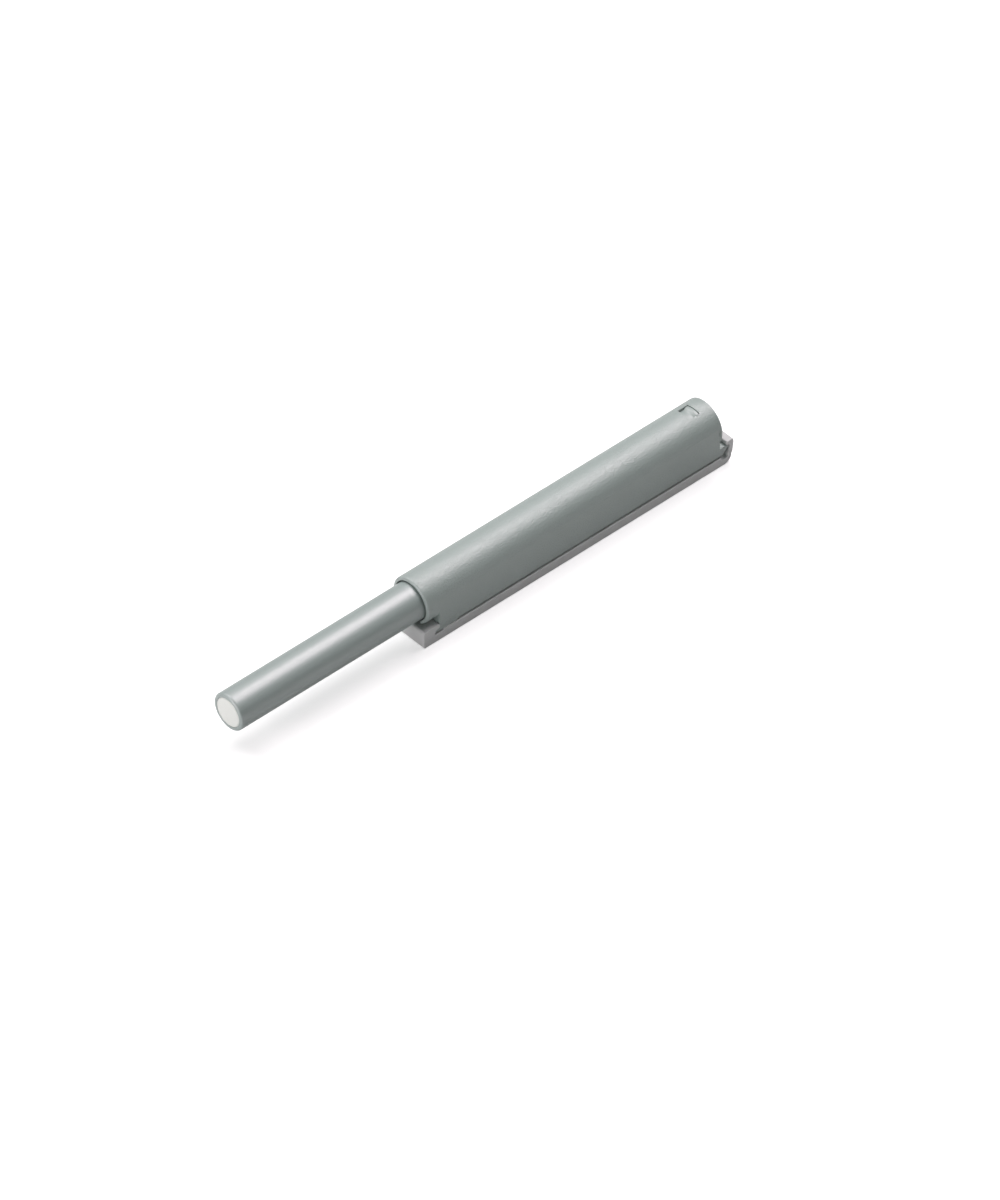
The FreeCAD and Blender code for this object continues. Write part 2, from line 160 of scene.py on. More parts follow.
def as_object(bm, name):
    """A mesh object made from a finished shape."""
    mesh = bpy.data.meshes.new(name)
    bm.to_mesh(mesh)
    bm.free()
    obj = bpy.data.objects.new(name, mesh)
    bpy.context.scene.collection.objects.link(obj)
    return obj


def carved(name, base, steps):
    """One closed solid: shapes are added to, cut from or crossed with a base one by one."""
    obj = as_object(base, name)
    for operation, bm in steps:
        helper = as_object(bm, "tool")
        modifier = obj.modifiers.new("carve", "BOOLEAN")
        modifier.operation = operation
        modifier.solver = "EXACT"
        modifier.object = helper
        bpy.context.view_layer.update()
        result = obj.evaluated_get(bpy.context.evaluated_depsgraph_get())
        obj.data = bpy.data.meshes.new_from_object(result)
        obj.modifiers.clear()
        bpy.data.objects.remove(helper)
    return obj


def welded(obj):
    """The object's shape with doubled points and slivers merged."""
    bm = bmesh.new()
    bm.from_mesh(obj.data)
    bmesh.ops.remove_doubles(bm, verts=bm.verts, dist=2 * CLOSE)
    bmesh.ops.dissolve_degenerate(bm, edges=bm.edges, dist=CLOSE)
    return bm


def finished(obj):
    """Scales a shape to metres and shades it smooth apart from its real corners."""
    bm = welded(obj)
    bmesh.ops.scale(bm, verts=bm.verts, vec=(MM, MM, MM))
    bm.to_mesh(obj.data)
    bm.free()
    obj.data.name = obj.name
    obj.data.polygons.foreach_set("use_smooth", [True] * len(obj.data.polygons))
    obj.data.set_sharp_from_angle(angle=math.radians(SHARP_DEG))
    weighted = obj.modifiers.new("weighted normals", "WEIGHTED_NORMAL")
    weighted.keep_sharp = True
    return obj


def plastic(name, colour, roughness, grain_mm, grain_deep, mottle=0.03, uneven=0.05, gleam=0.5):
    """Moulded plastic: spark grain as bump, faint mottling and slightly uneven gloss.

    The grain's width and depth are in millimetres. mottle and uneven are the swing of the colour
    and of the roughness, and gleam is the strength of the clear reflection.
    """
    material = bpy.data.materials.new(name)
    material.use_nodes = True
    nodes, links = material.node_tree.nodes, material.node_tree.links
    shader = nodes["Principled BSDF"]
    shader.inputs["Specular IOR Level"].default_value = gleam
    place = nodes.new("ShaderNodeTexCoord")
    to_mm = nodes.new("ShaderNodeMapping")
    to_mm.inputs["Scale"].default_value = (1 / MM, 1 / MM, 1 / MM)
    links.new(place.outputs["Object"], to_mm.inputs["Vector"])

    grain = nodes.new("ShaderNodeTexNoise")
    grain.inputs["Scale"].default_value = 1 / grain_mm
    grain.inputs["Detail"].default_value = GRAIN_DETAIL
    links.new(to_mm.outputs["Vector"], grain.inputs["Vector"])
    bump = nodes.new("ShaderNodeBump")
    bump.inputs["Distance"].default_value = grain_deep * MM
    links.new(grain.outputs["Fac"], bump.inputs["Height"])
    links.new(bump.outputs["Normal"], shader.inputs["Normal"])

    flow = nodes.new("ShaderNodeTexNoise")
    flow.inputs["Scale"].default_value = FLOW_PER_MM
    flow.inputs["Detail"].default_value = FLOW_DETAIL
    links.new(to_mm.outputs["Vector"], flow.inputs["Vector"])
    tint = nodes.new("ShaderNodeMix")
    tint.data_type = "RGBA"
    tint.inputs["A"].default_value = (*[c * (1 - mottle) for c in colour], 1)
    tint.inputs["B"].default_value = (*[c * (1 + mottle) for c in colour], 1)
    links.new(flow.outputs["Fac"], tint.inputs["Factor"])
    links.new(tint.outputs["Result"], shader.inputs["Base Color"])

    gloss = nodes.new("ShaderNodeMapRange")
    gloss.inputs["From Min"].default_value = GRAIN_LOW
    gloss.inputs["From Max"].default_value = GRAIN_HIGH
    gloss.inputs["To Min"].default_value = roughness - uneven
    gloss.inputs["To Max"].default_value = roughness + uneven
    links.new(grain.outputs["Fac"], gloss.inputs["Value"])
    links.new(gloss.outputs["Result"], shader.inputs["Roughness"])
    return material


PLATE_GREY = (0.575, 0.61, 0.597)
PLATE_THICK = 2.1
ROOF_LENGTH = 3.94
ROOF_HEIGHT = 1.8
ROOF_NOSE = 0.55
POCKET_DEEP = 1.14
POCKET_SUNK = 0.25
POCKET_LOW = 0.95
POCKET_HIGH = 1.3
POCKET_RUN = 0.9
TONGUE_END = 7.2
TONGUE_HALF = 2.6
SLOT_END = 7.1
SLOT_WIDE = 0.95
WALL = 1.1
WALL_LEAN = 0.31
WALL_FOOT = 2.3
WALL_KNEE = 3.9
WALL_FLARE = 0.4
KNEE_ROUND = 0.3
LIP_THICK = 0.9
LIP_REACH = 0.75
LIP_DRAFT = 0.15
LIP_ROUND = 0.3
GROOVE_WIDE = 1.6
GROOVE_DEEP = 0.7
GROOVE_ROUND = 0.5
HEEL_ROUND = 1.8
HEEL_INSET = 0.56
HEEL_TOP = 1.9
HOLE_PAIR = 32.0      # the two holes of a pair, one row pitch apart
HOLE_STAGGER = 20.5   # the second pair stands this much behind the first
HEAD_R = 3.5
SCREW_R = 1.75
HEAD_RIM = 0.3
HOLE_CLEAR = 0.001    # keeps the cutter's rounded rim off the plate's top face

plate_low, plate_high = span("mounting_plate")
plate_half = plate_high.y
plate_front, plate_rear = plate_low.x, plate_high.x
roof_z = PLATE_THICK + ROOF_HEIGHT
roof_end = plate_front + ROOF_LENGTH
wall_x = plate_rear - WALL
lip_x = wall_x - LIP_REACH
lip_z = plate_high.z - LIP_THICK
heel_x = plate_rear - HEEL_INSET
groove_rear = wall_x - WALL_FLARE
groove_front = groove_rear - GROOVE_WIDE
groove_z = PLATE_THICK - GROOVE_DEEP

plate_side = outline([
    (plate_front, 0), (heel_x, 0), (heel_x, HEEL_TOP), (plate_rear - WALL_LEAN, WALL_FOOT),
    (plate_rear, lip_z), (plate_rear - LIP_DRAFT, plate_high.z), (lip_x, plate_high.z),
    (lip_x, lip_z), (wall_x, lip_z), (wall_x, WALL_KNEE), (groove_rear, PLATE_THICK),
    (groove_rear, groove_z), (groove_front, groove_z), (groove_front, PLATE_THICK),
    (roof_end, PLATE_THICK), (roof_end, roof_z), (plate_front, roof_z),
])
round_corners(plate_side, [
    ((heel_x, 0), HEEL_ROUND),
    ((plate_rear - LIP_DRAFT, plate_high.z), CORNER),
    ((lip_x, plate_high.z), LIP_ROUND),
    ((lip_x, lip_z), CORNER),
    ((wall_x, lip_z), CORNER),
    ((wall_x, WALL_KNEE), KNEE_ROUND),
    ((groove_rear, groove_z), GROOVE_ROUND),
    ((groove_front, groove_z), GROOVE_ROUND),
    ((groove_front, PLATE_THICK), FINE_CORNER),
    ((plate_front, roof_z), ROOF_NOSE),
    ((roof_end, roof_z), CORNER),
    ((plate_front, 0), CORNER),
])
thicken(plate_side, -plate_half, plate_half, EDGE_ROUND)

pocket_z = PLATE_THICK - POCKET_SUNK
pocket_front = roof_end - POCKET_DEEP
pocket_rear = roof_end + POCKET_RUN
pocket = thicken(outline([
    (pocket_front, pocket_z), (pocket_rear, pocket_z), (pocket_rear, PLATE_THICK + PAST / 2),
    (roof_end + CLOSE, PLATE_THICK + PAST / 2), (roof_end + CLOSE, pocket_z + POCKET_HIGH),
    (pocket_front, pocket_z + POCKET_LOW),
]), TONGUE_HALF, plate_half + PAST)
tongue = block(
    (roof_end - PAST, -TONGUE_HALF, PLATE_THICK - EDGE_ROUND),
    (plate_front + TONGUE_END, TONGUE_HALF, roof_z),
    EDGE_ROUND,
)
core_slot = block(
    (roof_end, TONGUE_HALF, -PAST),
    (plate_front + SLOT_END, TONGUE_HALF + SLOT_WIDE, PLATE_THICK + PAST),
)


def screw_hole(x):
    """Cutter for one countersunk hole whose top edge comes out rounded."""
    cone_top = PLATE_THICK - HEAD_RIM
    cone_foot = cone_top - (HEAD_R - SCREW_R)
    top = PLATE_THICK + HOLE_CLEAR
    wide = HEAD_R + PAST
    profile = outline([
        (x, -PAST), (x + SCREW_R, -PAST), (x + SCREW_R, cone_foot), (x + HEAD_R, cone_top),
        (x + HEAD_R, top), (x + wide, top), (x + wide, top + PAST), (x, top + PAST),
    ])
    round_corners(profile, [((x + HEAD_R, top), EDGE_ROUND)], segments=3)
    return spun(profile, (x, 0, 0), (0, 0, 1), SMALL_STEPS)


first_hole = -(HOLE_PAIR + HOLE_STAGGER) / 2
hole_xs = [first_hole + shift for shift in (0, HOLE_STAGGER, HOLE_PAIR, HOLE_PAIR + HOLE_STAGGER)]
plate_cuts = [mirrored(pocket), mirrored(core_slot)] + [screw_hole(x) for x in hole_xs]
plate = finished(carved(
    "plate_body", plate_side, [("UNION", tongue)] + [("DIFFERENCE", cut) for cut in plate_cuts],
))
plate.data.materials.append(plastic(
    "plate_plastic", PLATE_GREY, roughness=0.5, grain_mm=0.22, grain_deep=0.07,
))
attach(plate, "plate")
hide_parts("mounting_plate")


# ==== Housing ==================================================================================
# Greenish grey moulding: a round tube standing on two flat skirts, with toes in front and claws
# behind that clip it to the plate. It is spark-finished to a fine grain and left bare.

HOUSING_GREY = (0.272, 0.338, 0.315)
CLAW_LENGTH = 2.15
CLAW_WIDE = 1.4
CLAW_TOP = 4.45
CLAW_TIP = 0.5
CLAW_ROOT = 0.7
SKIRT_Z = 2.5
SKIRT_SETBACK = 3.0
SIDE_HALF = 4.83
CHANNEL_HALF = 2.65
TOE_LENGTH = 1.1
TOE_THICK = 0.7
FOOT_LENGTH = 5.3
FOOT_RAMP = 0.4
TONGUE_SLOT = 6.65
SLOT_TOP = 6.2
REAR_FOOT = 1.8
MOUTH_ROUND = 0.45
RELIEF_DEEP = 1.5
GUIDE_R = 4.08
GUIDE_LENGTH = 20.0
BORE_R = 4.3
SEAT_R = 4.5
SEAT_FROM_REAR = 12.9
WINDOW_LONG = 2.6
WINDOW_WIDE = 3.3
WINDOW_FROM_REAR = 3.75
WINDOW_ROUND = 0.05
REAR_ROUND = 0.05
RIM_OFF = 0.01        # how far the window's rim may lie off the tube's round

housing_low, housing_high = span("housing")
tube_r = housing_high.y
axis_z = housing_high.z - tube_r
mouth_x = housing_low.x
rear_x = housing_high.x - CLAW_LENGTH
foot_z = housing_low.z


def turned(points, rounds=(), steps=ROUND_STEPS):
    """Closed solid turned about the tube's axis from (x, radius) points, some corners rounded."""
    profile = outline([(x, axis_z + r) for x, r in points])
    round_corners(profile, [((x, axis_z + r), size) for (x, r), size in rounds])
    return spun(profile, (0, 0, axis_z), (1, 0, 0), steps)


tube = turned(
    [(mouth_x, 0), (mouth_x, tube_r), (rear_x, tube_r), (rear_x, 0)],
    [((mouth_x, tube_r), MOUTH_ROUND), ((rear_x, tube_r), REAR_ROUND)],
)
skirt_x = mouth_x + SKIRT_SETBACK
flat_side = block(
    (skirt_x, SIDE_HALF, PLATE_THICK), (rear_x + PAST, tube_r + PAST, axis_z + tube_r),
)

toe_x = skirt_x - TOE_LENGTH
foot_end = toe_x + FOOT_LENGTH
skirt = outline([
    (skirt_x, axis_z), (skirt_x, foot_z + TOE_THICK), (toe_x, foot_z + TOE_THICK), (toe_x, foot_z),
    (foot_end, foot_z), (foot_end + FOOT_RAMP, SKIRT_Z), (rear_x, SKIRT_Z), (rear_x, axis_z),
])
round_corners(skirt, [
    ((skirt_x, foot_z + TOE_THICK), FINE_CORNER),
    ((toe_x, foot_z + TOE_THICK), FINE_CORNER),
    ((toe_x, foot_z), FINE_CORNER),
    ((foot_end, foot_z), FINE_CORNER),
    ((foot_end + FOOT_RAMP, SKIRT_Z), CORNER),
], segments=4)
thicken(skirt, CHANNEL_HALF, SIDE_HALF, EDGE_ROUND)

claw_x = rear_x + CLAW_LENGTH
claw = outline([
    (rear_x - PAST, CLAW_TOP), (claw_x, CLAW_TOP), (claw_x, CLAW_TOP - CLAW_TIP),
    (rear_x + CLAW_ROOT, SKIRT_Z), (rear_x - PAST, SKIRT_Z),
])
round_corners(claw, [
    ((claw_x, CLAW_TOP), FINE_CORNER),
    ((claw_x, CLAW_TOP - CLAW_TIP), FINE_CORNER),
    ((rear_x + CLAW_ROOT, SKIRT_Z), CORNER),
], segments=4)
thicken(claw, SIDE_HALF - CLAW_WIDE, SIDE_HALF, EDGE_ROUND)

rear_foot = block(
    (rear_x - REAR_FOOT, -CHANNEL_HALF - CORNER, foot_z),
    (rear_x - EDGE_ROUND, CHANNEL_HALF + CORNER, axis_z - SEAT_R - EDGE_ROUND),
    EDGE_ROUND,
)
seat_x = rear_x - SEAT_FROM_REAR
guide_end = mouth_x + GUIDE_LENGTH
bore = turned(
    [
        (mouth_x - PAST, 0), (mouth_x - PAST, BORE_R), (mouth_x + RELIEF_DEEP, BORE_R),
        (mouth_x + RELIEF_DEEP, GUIDE_R), (guide_end, GUIDE_R), (guide_end, BORE_R),
        (seat_x, BORE_R), (seat_x, SEAT_R), (rear_x + PAST, SEAT_R), (rear_x + PAST, 0),
    ],
)
tongue_slot = block(
    (mouth_x - PAST, -CHANNEL_HALF, 0), (mouth_x + TONGUE_SLOT, CHANNEL_HALF, SLOT_TOP),
)
window_x = rear_x - WINDOW_FROM_REAR
window_front = window_x - WINDOW_LONG / 2
window_rear = window_x + WINDOW_LONG / 2
window = block(
    (window_front, -WINDOW_WIDE / 2, axis_z),
    (window_rear, WINDOW_WIDE / 2, axis_z + tube_r + PAST),
)


def on_window_rim(edge):
    """Whether an edge of the housing runs round the window's outer opening."""
    for vert in edge.verts:
        x, y, z = vert.co
        outside = z > axis_z and abs(math.hypot(y, z - axis_z) - tube_r) < RIM_OFF
        at_end = min(abs(x - window_front), abs(x - window_rear)) < CLOSE
        at_side = abs(abs(y) - WINDOW_WIDE / 2) < CLOSE
        in_length = window_front - CLOSE < x < window_rear + CLOSE
        in_width = abs(y) < WINDOW_WIDE / 2 + CLOSE
        if not (outside and in_length and in_width and (at_end or at_side)):
            return False
    return True


housing = carved("housing_shell", tube, [
    ("DIFFERENCE", mirrored(flat_side)),
    ("UNION", mirrored(skirt)),
    ("UNION", mirrored(claw)),
    ("UNION", rear_foot),
    ("DIFFERENCE", bore),
    ("DIFFERENCE", tongue_slot),
    ("DIFFERENCE", window),
])
housing_bm = welded(housing)
round_edges(housing_bm, [e for e in housing_bm.edges if on_window_rim(e)], WINDOW_ROUND)
housing_bm.to_mesh(housing.data)
housing_bm.free()
finished(housing)
housing.data.materials.append(plastic(
    "housing_plastic", HOUSING_GREY, roughness=0.43, grain_mm=0.27, grain_deep=0.085, uneven=0.14,
    gleam=1.0,
))
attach(housing, "catch")
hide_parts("housing")


# ==== Plunger tube =============================================================================
# Smooth satin tube of the same greenish grey, moulded with polished sides so that it slides. Its
# outer rim is rounded, and the tip is counterbored for the bumper.

PLUNGER_GREY = (0.243, 0.306, 0.287)
PLUNGER_R = 4.0
TIP_ROUND = 0.5
TUBE_BORE = 2.55
CAVITY_R = 2.8
BUMPER_R = 3.15
BUMPER_DEEP = 3.9
WEB_BACK = 5.0
WEB_THICK = 2.0
FLANGE_LENGTH = 1.5
NECK_R = 3.2
PLUNGER_IOR = 1.6

plunger_low, plunger_high = span("plunger_tube")
tip_x = plunger_low.x
neck_x = plunger_high.x
flange_r = plunger_high.y
flange_rear = guide_end + FLANGE_LENGTH
web_x = mouth_x - WEB_BACK
bumper_back = tip_x + BUMPER_DEEP
plunger = finished(as_object(turned(
    [
        (tip_x, BUMPER_R), (tip_x, PLUNGER_R), (guide_end, PLUNGER_R), (guide_end, flange_r),
        (flange_rear, flange_r), (flange_rear, NECK_R), (neck_x, NECK_R), (neck_x, TUBE_BORE),
        (web_x, TUBE_BORE), (web_x, 0), (web_x - WEB_THICK, 0), (web_x - WEB_THICK, CAVITY_R),
        (bumper_back, CAVITY_R), (bumper_back, BUMPER_R),
    ],
    [((tip_x, PLUNGER_R), TIP_ROUND), ((tip_x, BUMPER_R), EDGE_ROUND), ((neck_x, NECK_R), CORNER)],
), "plunger_shell"))
plunger.data.materials.append(plastic(
    "plunger_plastic", PLUNGER_GREY, roughness=0.4, grain_mm=0.5, grain_deep=0.012, mottle=0.015,
    uneven=0.03, gleam=1.0,
))
plunger_shader = plunger.data.materials[0].node_tree.nodes["Principled BSDF"]
plunger_shader.inputs["IOR"].default_value = PLUNGER_IOR
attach(plunger, "plunger")
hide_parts("plunger_tube")


# ==== Bumper ===================================================================================
# Soft white insert pressed into the plunger's tip, with a slightly domed face, so that the door
# closes on it without a click.

BUMPER_WHITE = (0.6, 0.655, 0.61)
BUMPER_FIT = 0.03
CROWN = 0.12
DOME_RINGS = 8

bumper_r = BUMPER_R - BUMPER_FIT
dome = [
    (tip_x - CROWN * (1 - (i / DOME_RINGS) ** 2), bumper_r * i / DOME_RINGS)
    for i in range(DOME_RINGS)
]
bumper = finished(as_object(turned(
    dome + [(tip_x, bumper_r), (bumper_back, bumper_r), (bumper_back, 0)],
    [((tip_x, bumper_r), CORNER)],
    SMALL_STEPS,
), "bumper_insert"))
bumper.data.materials.append(plastic(
    "bumper_plastic", BUMPER_WHITE, roughness=0.45, grain_mm=0.4, grain_deep=0.015, mottle=0.01,
))
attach(bumper, "plunger")
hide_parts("bumper")


# ==== End plug =================================================================================
# Grey plug snapped into the housing's rear end. Its ramped lug springs out into the window, and
# its round flange covers the tube's end.

DISC_R = 4.98
DISC_ROUND = 0.15
POCKET_R = 3.0
POCKET_LENGTH = 2.9
POCKET_DRAFT = 0.15
SNAP_WIDE = 3.0
SNAP_LONG = 2.2
SNAP_GAP = 0.1
SNAP_LOW = 0.03
SNAP_BASE = 1.0
SNAP_HIGH = 0.38
SNAP_FLAT = 0.6
SNAP_ROUND = 0.05
PLUG_FLOOR = 5.1
SPIGOT_R = 1.8
SPIGOT_LONG = 3.4
SPIGOT_ROUND = 0.5
SLEEVE_WALL = 0.2
PLUG_FIT = 0.03

plug_low, plug_high = span("end_plug")
plug_front, plug_rear = plug_low.x, plug_high.x
plug_r = SEAT_R - PLUG_FIT
floor_x = rear_x - PLUG_FLOOR
spigot_x = floor_x - SPIGOT_LONG
pocket_x = plug_rear - POCKET_LENGTH
disc_x = rear_x + CLOSE
sleeve_r = plug_r - SLEEVE_WALL
plug_blank = turned(
    [
        (spigot_x, 0), (spigot_x, SPIGOT_R), (floor_x, SPIGOT_R), (floor_x, sleeve_r),
        (plug_front, sleeve_r), (plug_front, plug_r), (disc_x, plug_r), (disc_x, DISC_R),
        (plug_rear, DISC_R), (plug_rear, POCKET_R), (pocket_x, POCKET_R - POCKET_DRAFT),
        (pocket_x, 0),
    ],
    [
        ((spigot_x, SPIGOT_R), SPIGOT_ROUND),
        ((plug_rear, DISC_R), DISC_ROUND),
        ((plug_rear, POCKET_R), EDGE_ROUND),
    ],
)
snap_rear = window_rear - SNAP_GAP
snap_front = snap_rear - SNAP_LONG
snap_top = plug_r + SNAP_HIGH
snap_foot = plug_r + SNAP_LOW
snap_ramp = turned(
    [
        (snap_front, 0), (snap_front, snap_foot), (snap_front + SNAP_BASE, snap_foot),
        (snap_rear - SNAP_FLAT, snap_top), (snap_rear, snap_top), (snap_rear, 0),
    ],
    [
        ((snap_front + SNAP_BASE, snap_foot), CORNER),
        ((snap_rear - SNAP_FLAT, snap_top), EDGE_ROUND),
        ((snap_rear, snap_top), SNAP_ROUND),
    ],
)
snap_strip = block(
    (snap_front - PAST, -SNAP_WIDE / 2, axis_z + SPIGOT_R),
    (snap_rear + PAST, SNAP_WIDE / 2, axis_z + tube_r + PAST),
)
snap = carved("snap", snap_ramp, [("INTERSECT", snap_strip)])
plug = finished(carved("plug_body", plug_blank, [("UNION", welded(snap))]))
bpy.data.objects.remove(snap)
plug.data.materials.append(plastic(
    "plug_plastic", HOUSING_GREY, roughness=0.42, grain_mm=0.5, grain_deep=0.015, mottle=0.015,
    uneven=0.03, gleam=1.0,
))
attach(plug, "catch")
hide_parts("end_plug")


# ==== Latch parts and spring ===================================================================
# Inside, hidden: the toothed ring is pressed into the housing, and the rotor turns on the
# plunger's neck, kept there by its collar. All three are natural white acetal. The spring between
# plunger and plug is wound from bright drawn wire.

ACETAL = (0.75, 0.75, 0.71)
acetal = plastic(
    "latch_acetal", ACETAL, roughness=0.35, grain_mm=0.4, grain_deep=0.01, mottle=0.01,
)
for name in ("latch_ring", "latch_rotor", "rotor_retainer"):
    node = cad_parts[name]
    node.data.materials.clear()
    node.data.materials.append(acetal)

SPRING_R = 2.4
WIRE_R = 0.225
OPEN_TURNS = 18
CLOSED_PITCH = 0.47
TURN_STEPS = 32
WIRE_SIDES = 12
WIRE_GREY = (0.62, 0.62, 0.63, 1)
WIRE_SMOOTH = 0.2     # least and greatest roughness of the drawn wire
WIRE_ROUGH = 0.4
DRAWN_PER_MM = 2

spring_low, spring_high = span("main_spring")
spring_long = spring_high.x - spring_low.x
open_pitch = (spring_long - 2 * WIRE_R - 2 * CLOSED_PITCH) / OPEN_TURNS
spring_bm = bmesh.new()
bmesh.ops.create_circle(spring_bm, segments=WIRE_SIDES, radius=WIRE_R)
bmesh.ops.rotate(spring_bm, verts=spring_bm.verts, matrix=Matrix.Rotation(math.pi / 2, 3, "X"))
coil_start = (spring_low.x + WIRE_R, 0, axis_z + SPRING_R - WIRE_R)
bmesh.ops.translate(spring_bm, verts=spring_bm.verts, vec=coil_start)
front = spring_bm.verts[:] + spring_bm.edges[:]
for turns, pitch in ((1, CLOSED_PITCH), (OPEN_TURNS, open_pitch), (1, CLOSED_PITCH)):
    wound = bmesh.ops.spin(
        spring_bm, geom=front, cent=(0, 0, axis_z), axis=(1, 0, 0), angle=2 * math.pi * turns,
        steps=TURN_STEPS * turns, dvec=(pitch / TURN_STEPS, 0, 0),
    )
    front = wound["geom_last"]
bmesh.ops.holes_fill(spring_bm, edges=[e for e in spring_bm.edges if e.is_boundary], sides=0)
bmesh.ops.recalc_face_normals(spring_bm, faces=spring_bm.faces)
spring = finished(as_object(spring_bm, "coil_spring"))

steel = bpy.data.materials.new("spring_wire")
steel.use_nodes = True
steel_nodes, steel_links = steel.node_tree.nodes, steel.node_tree.links
wire = steel_nodes["Principled BSDF"]
wire.inputs["Base Color"].default_value = WIRE_GREY
wire.inputs["Metallic"].default_value = 1.0
wire_place = steel_nodes.new("ShaderNodeTexCoord")
drawn = steel_nodes.new("ShaderNodeTexNoise")
drawn.inputs["Scale"].default_value = DRAWN_PER_MM / MM
steel_links.new(wire_place.outputs["Object"], drawn.inputs["Vector"])
wire_gloss = steel_nodes.new("ShaderNodeMapRange")
wire_gloss.inputs["To Min"].default_value = WIRE_SMOOTH
wire_gloss.inputs["To Max"].default_value = WIRE_ROUGH
steel_links.new(drawn.outputs["Fac"], wire_gloss.inputs["Value"])
steel_links.new(wire_gloss.outputs["Result"], wire.inputs["Roughness"])
spring.data.materials.append(steel)
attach(spring, "catch")
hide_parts("main_spring")
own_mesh(spring)


# ==== Studio ===================================================================================
# A pale floor that for the camera fades into a white surround, two soft lamps overhead, and one
# low beyond the plunger's tip that faces it. The camera has a long lens, so the view is almost
# parallel. Sizes are in metres here.

FLOOR_SIZE = 6.0
FLOOR_WHITE = (0.68, 0.705, 0.695, 1)
FLOOR_ROUGH = 0.9
FLOOR_LIFT = 0.55     # glow near the object that the floor has for the camera alone
FADE_START = 0.15     # distances from the origin between which that glow rises to white
FADE_END = 0.5
SKY_FILL = 0.02       # light that the surround gives the object
WALL_SHEEN = 0.05     # what gloss mirrors of the surround at the horizon
SKY_SHEEN = 0.65      # and what it mirrors above the height SKY_HIGH
SKY_HIGH = 0.6
WHITE = (1, 1, 1, 1)

floor_bm = bmesh.new()
bmesh.ops.create_grid(floor_bm, x_segments=1, y_segments=1, size=FLOOR_SIZE / 2)
floor = as_object(floor_bm, "floor")
paper = bpy.data.materials.new("floor_white")
paper.use_nodes = True
paper_nodes, paper_links = paper.node_tree.nodes, paper.node_tree.links
paper_shader = paper_nodes["Principled BSDF"]
paper_shader.inputs["Base Color"].default_value = FLOOR_WHITE
paper_shader.inputs["Roughness"].default_value = FLOOR_ROUGH
paper_shader.inputs["Specular IOR Level"].default_value = 0.0
paper_shader.inputs["Emission Color"].default_value = WHITE
paper_place = paper_nodes.new("ShaderNodeTexCoord")
distance = paper_nodes.new("ShaderNodeVectorMath")
distance.operation = "LENGTH"
paper_links.new(paper_place.outputs["Object"], distance.inputs[0])
fade = paper_nodes.new("ShaderNodeMapRange")
fade.interpolation_type = "SMOOTHSTEP"
fade.inputs["From Min"].default_value = FADE_START
fade.inputs["From Max"].default_value = FADE_END
fade.inputs["To Min"].default_value = FLOOR_LIFT
paper_links.new(distance.outputs["Value"], fade.inputs["Value"])
lift = paper_nodes.new("ShaderNodeMath")
lift.operation = "MULTIPLY"
paper_links.new(fade.outputs["Result"], lift.inputs[0])
paper_path = paper_nodes.new("ShaderNodeLightPath")
paper_links.new(paper_path.outputs["Is Camera Ray"], lift.inputs[1])
paper_links.new(lift.outputs["Value"], paper_shader.inputs["Emission Strength"])
floor.data.materials.append(paper)

world = bpy.data.worlds.new("studio")
bpy.context.scene.world = world
world.use_nodes = True
sky_nodes, sky_links = world.node_tree.nodes, world.node_tree.links
sky_nodes.clear()
sky_out = sky_nodes.new("ShaderNodeOutputWorld")
fill = sky_nodes.new("ShaderNodeBackground")
fill.inputs["Color"].default_value = WHITE
fill.inputs["Strength"].default_value = SKY_FILL
surround = sky_nodes.new("ShaderNodeBackground")
surround.inputs["Color"].default_value = WHITE
surround.inputs["Strength"].default_value = 1.0
towards = sky_nodes.new("ShaderNodeTexCoord")
height = sky_nodes.new("ShaderNodeSeparateXYZ")
sky_links.new(towards.outputs["Generated"], height.inputs["Vector"])
sheen = sky_nodes.new("ShaderNodeMapRange")
sheen.interpolation_type = "SMOOTHSTEP"
sheen.inputs["To Min"].default_value = WALL_SHEEN
sheen.inputs["To Max"].default_value = SKY_SHEEN
sheen.inputs["From Max"].default_value = SKY_HIGH
sky_links.new(height.outputs["Z"], sheen.inputs["Value"])
seen = sky_nodes.new("ShaderNodeMath")
seen.operation = "MULTIPLY_ADD"
sky_links.new(sheen.outputs["Result"], seen.inputs[1])
sky_path = sky_nodes.new("ShaderNodeLightPath")
sky_links.new(sky_path.outputs["Is Glossy Ray"], seen.inputs[0])
sky_links.new(sky_path.outputs["Is Camera Ray"], seen.inputs[2])
blend = sky_nodes.new("ShaderNodeMixShader")
sky_links.new(seen.outputs["Value"], blend.inputs["Fac"])
sky_links.new(fill.outputs["Background"], blend.inputs[1])
sky_links.new(surround.outputs["Background"], blend.inputs[2])
sky_links.new(blend.outputs["Shader"], sky_out.inputs["Surface"])


def soft_lamp(name, place, aim, size, power, colour):
    """Rectangular area lamp at a place, turned to its aim."""
    data = bpy.data.lights.new(name, "AREA")
    data.shape = "RECTANGLE"
    data.size, data.size_y = size
    data.energy = power
    data.color = colour
    lamp = bpy.data.objects.new(name, data)
    lamp.location = place
    lamp.rotation_euler = (aim - place).to_track_quat("-Z", "Y").to_euler()
    bpy.context.scene.collection.objects.link(lamp)


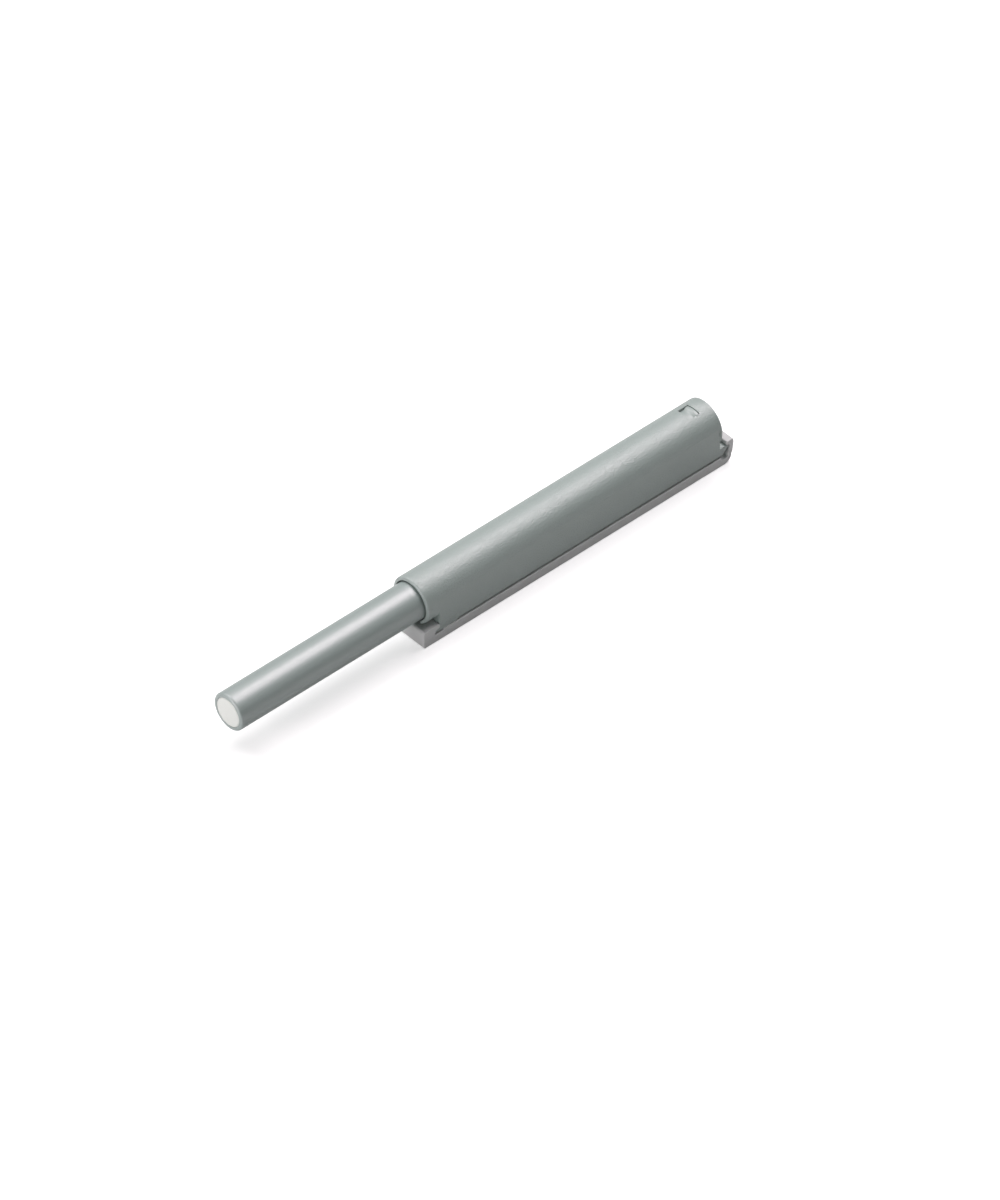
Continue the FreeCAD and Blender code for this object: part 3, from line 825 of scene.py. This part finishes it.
LAMP_REACH = 0.7
TIP_LAMP_REACH = 0.4
KEY_SIDE = Vector((0.49, 0.05, 0.87))
KEY_SIZE = (0.5, 0.3)
KEY_WATTS = 3.95
KEY_TINT = (1.0, 0.9, 0.94)
BACK_SIDE = Vector((-0.1, 0.56, 0.82))
BACK_SIZE = (0.5, 0.4)
BACK_WATTS = 3.4
BACK_TINT = (1.0, 0.935, 0.96)
TIP_SIDE = Vector((-0.98, 0.08, 0.15))
TIP_SIZE = (0.3, 0.3)
TIP_WATTS = 1.95
middle = Vector(((tip_x + rear_x) / 2, 0, axis_z)) * MM
tip = Vector((tip_x, 0, axis_z)) * MM
soft_lamp("key", middle + KEY_SIDE * LAMP_REACH, middle, KEY_SIZE, KEY_WATTS, KEY_TINT)
soft_lamp("back", middle + BACK_SIDE * LAMP_REACH, middle, BACK_SIZE, BACK_WATTS, BACK_TINT)
soft_lamp("tip", tip + TIP_SIDE * TIP_LAMP_REACH, tip, TIP_SIZE, TIP_WATTS, KEY_TINT)

AZIMUTH = math.radians(-42.15)
ELEVATION = math.radians(42.8)
DISTANCE = 2.4
SENSOR = 36.0
CLIP_NEAR = 0.1
CLIP_FAR = 20.0
VIEW_HEIGHT = 0.22506  # height of the view at the object
AIM_RIGHT = 0.00596   # how far the view's centre lies off the object's middle
AIM_DOWN = 0.00648
right = Vector((math.cos(AZIMUTH), math.sin(AZIMUTH), 0))
level = Vector((math.sin(AZIMUTH), -math.cos(AZIMUTH), 0))
back = level * math.cos(ELEVATION) + Vector((0, 0, math.sin(ELEVATION)))
up = back.cross(right)
aim = Vector((middle.x, 0, middle.z)) + right * AIM_RIGHT - up * AIM_DOWN
camera_data = bpy.data.cameras.new("camera")
camera_data.sensor_fit = "VERTICAL"
camera_data.sensor_height = SENSOR
camera_data.lens = SENSOR * DISTANCE / VIEW_HEIGHT
camera_data.clip_start = CLIP_NEAR
camera_data.clip_end = CLIP_FAR
camera = bpy.data.objects.new("camera", camera_data)
facing = Matrix((right, up, back)).transposed().to_4x4()
camera.matrix_world = Matrix.Translation(aim + back * DISTANCE) @ facing
bpy.context.scene.collection.objects.link(camera)
bpy.context.scene.camera = camera
bpy.context.scene.view_settings.view_transform = "Standard"
